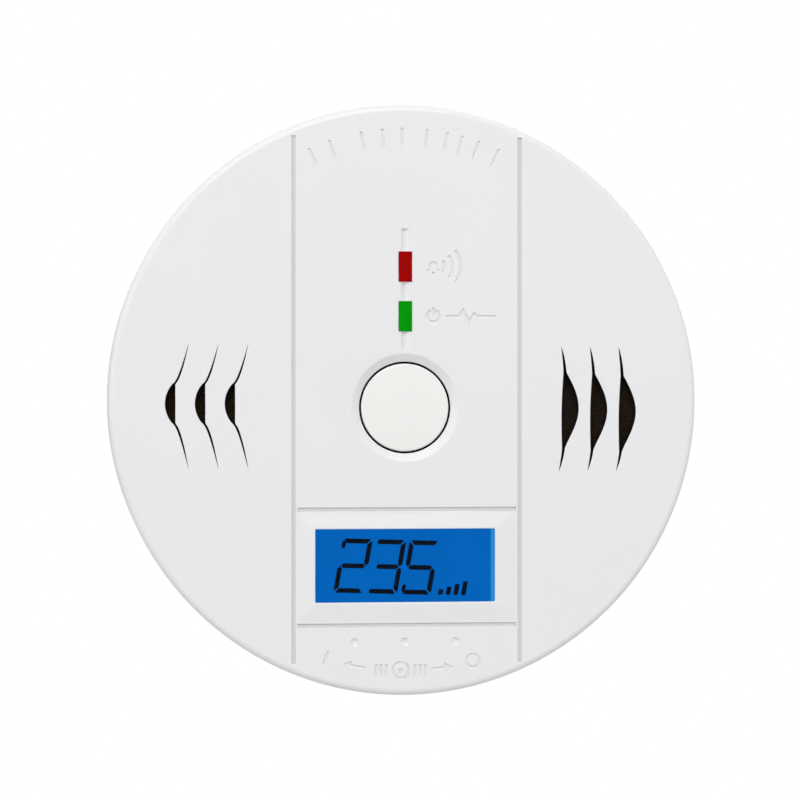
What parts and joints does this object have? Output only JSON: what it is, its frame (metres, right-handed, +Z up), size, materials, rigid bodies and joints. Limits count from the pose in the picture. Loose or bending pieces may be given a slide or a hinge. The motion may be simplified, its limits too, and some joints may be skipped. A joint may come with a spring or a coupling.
{
  "type": "carbon monoxide detector",
  "caption": "Round wall-mounted carbon monoxide detector with a blue backlit display, a test button, two indicator lights, curved vents and a twist-on mounting bracket.",
  "frame": {"origin": "centre of the mounting bracket's back face, on the wall", "axes": "+Z up the wall, +X to the right seen from the front; the detector's face looks along -Y"},
  "size_m": [0.103, 0.0365, 0.103],
  "materials": {
    "white_cover": "fine matt moulded texture",
    "white_housing": "fine matt moulded texture",
    "white_bracket": "fine matt moulded texture",
    "ivory_button": "satin",
    "black_seal": "matt",
    "black_plunger": "satin",
    "dark_switch": "matt",
    "red_light": "translucent",
    "green_light": "translucent",
    "red_led": "translucent",
    "green_led": "translucent",
    "clear_window": "clear and polished",
    "lcd_glass": "blue, lit from behind",
    "lcd_backlight": "diffuse",
    "white_frame": "satin",
    "tinned_metal": "bright tin",
    "green_board": "solder mask",
    "chip_black": "moulded",
    "ferrite": "matt",
    "copper_wire": "enamelled",
    "blue_sleeve": "shrink sleeve",
    "chip_ceramic": "fired",
    "buzzer_black": "satin",
    "piezo_brass": "brushed",
    "piezo_ceramic": "silvered",
    "sensor_steel": "brushed",
    "sensor_base": "matt",
    "sensor_gold": "plated",
    "dust_filter": "open-cell foam",
    "cell_wrap": "printed wrap over a steel can",
    "nickel_contact": "nickel plate",
    "spring_wire": "nickel plate",
    "red_wire": "smooth",
    "black_wire": "smooth",
    "zinc_screw": "zinc plate"
  },
  "bodies": {
    "bracket": {"mounting_bracket": "white_bracket"},
    "detector": {"rear_housing": "white_housing", "front_cover": "white_cover", "button_seal": "black_seal", "test_switch_body": "dark_switch", "alarm_light_guide": "red_light", "operate_light_guide": "green_light", "alarm_led": "red_led", "operate_led": "green_led", "display_window": "clear_window", "lcd_glass": "lcd_glass", "lcd_backlight": "lcd_backlight", "lcd_frame": "white_frame", "lcd_pins": "tinned_metal", "circuit_board": "green_board", "microcontroller": "chip_black", "microcontroller_legs": "tinned_metal", "coil_core": "ferrite", "coil_winding": "copper_wire", "filter_capacitor": "blue_sleeve", "chip_components": "chip_ceramic", "buzzer_housing": "buzzer_black", "piezo_disc": "piezo_brass", "piezo_ceramic": "piezo_ceramic", "co_sensor_can": "sensor_steel", "co_sensor_base": "sensor_base", "co_sensor_pins": "sensor_gold", "left_dust_filter": "dust_filter", "right_dust_filter": "dust_filter", "aa_cell_left": "cell_wrap", "aa_cell_middle": "cell_wrap", "aa_cell_right": "cell_wrap", "positive_contact": "nickel_contact", "negative_contact": "nickel_contact", "upper_link_contact": "nickel_contact", "lower_link_contact": "nickel_contact", "contact_springs": "spring_wire", "red_battery_lead": "red_wire", "black_battery_lead": "black_wire", "housing_screws": "zinc_screw", "board_screws": "zinc_screw"},
    "button": {"test_button": "ivory_button", "test_switch_plunger": "black_plunger"}
  },
  "joints": [
    {"name": "bayonet_twist", "type": "hinge", "parent": "bracket", "child": "detector", "pos_m": [0, 0, 0], "axis": [0, -1, 0], "range_deg": [0, 15]},
    {"name": "button_press", "type": "slide", "parent": "detector", "child": "button", "axis": [0, 1, 0], "range_m": [0, 0.0008], "stiffness_N_per_m": 800, "springref_m": -0.0005}
  ]
}
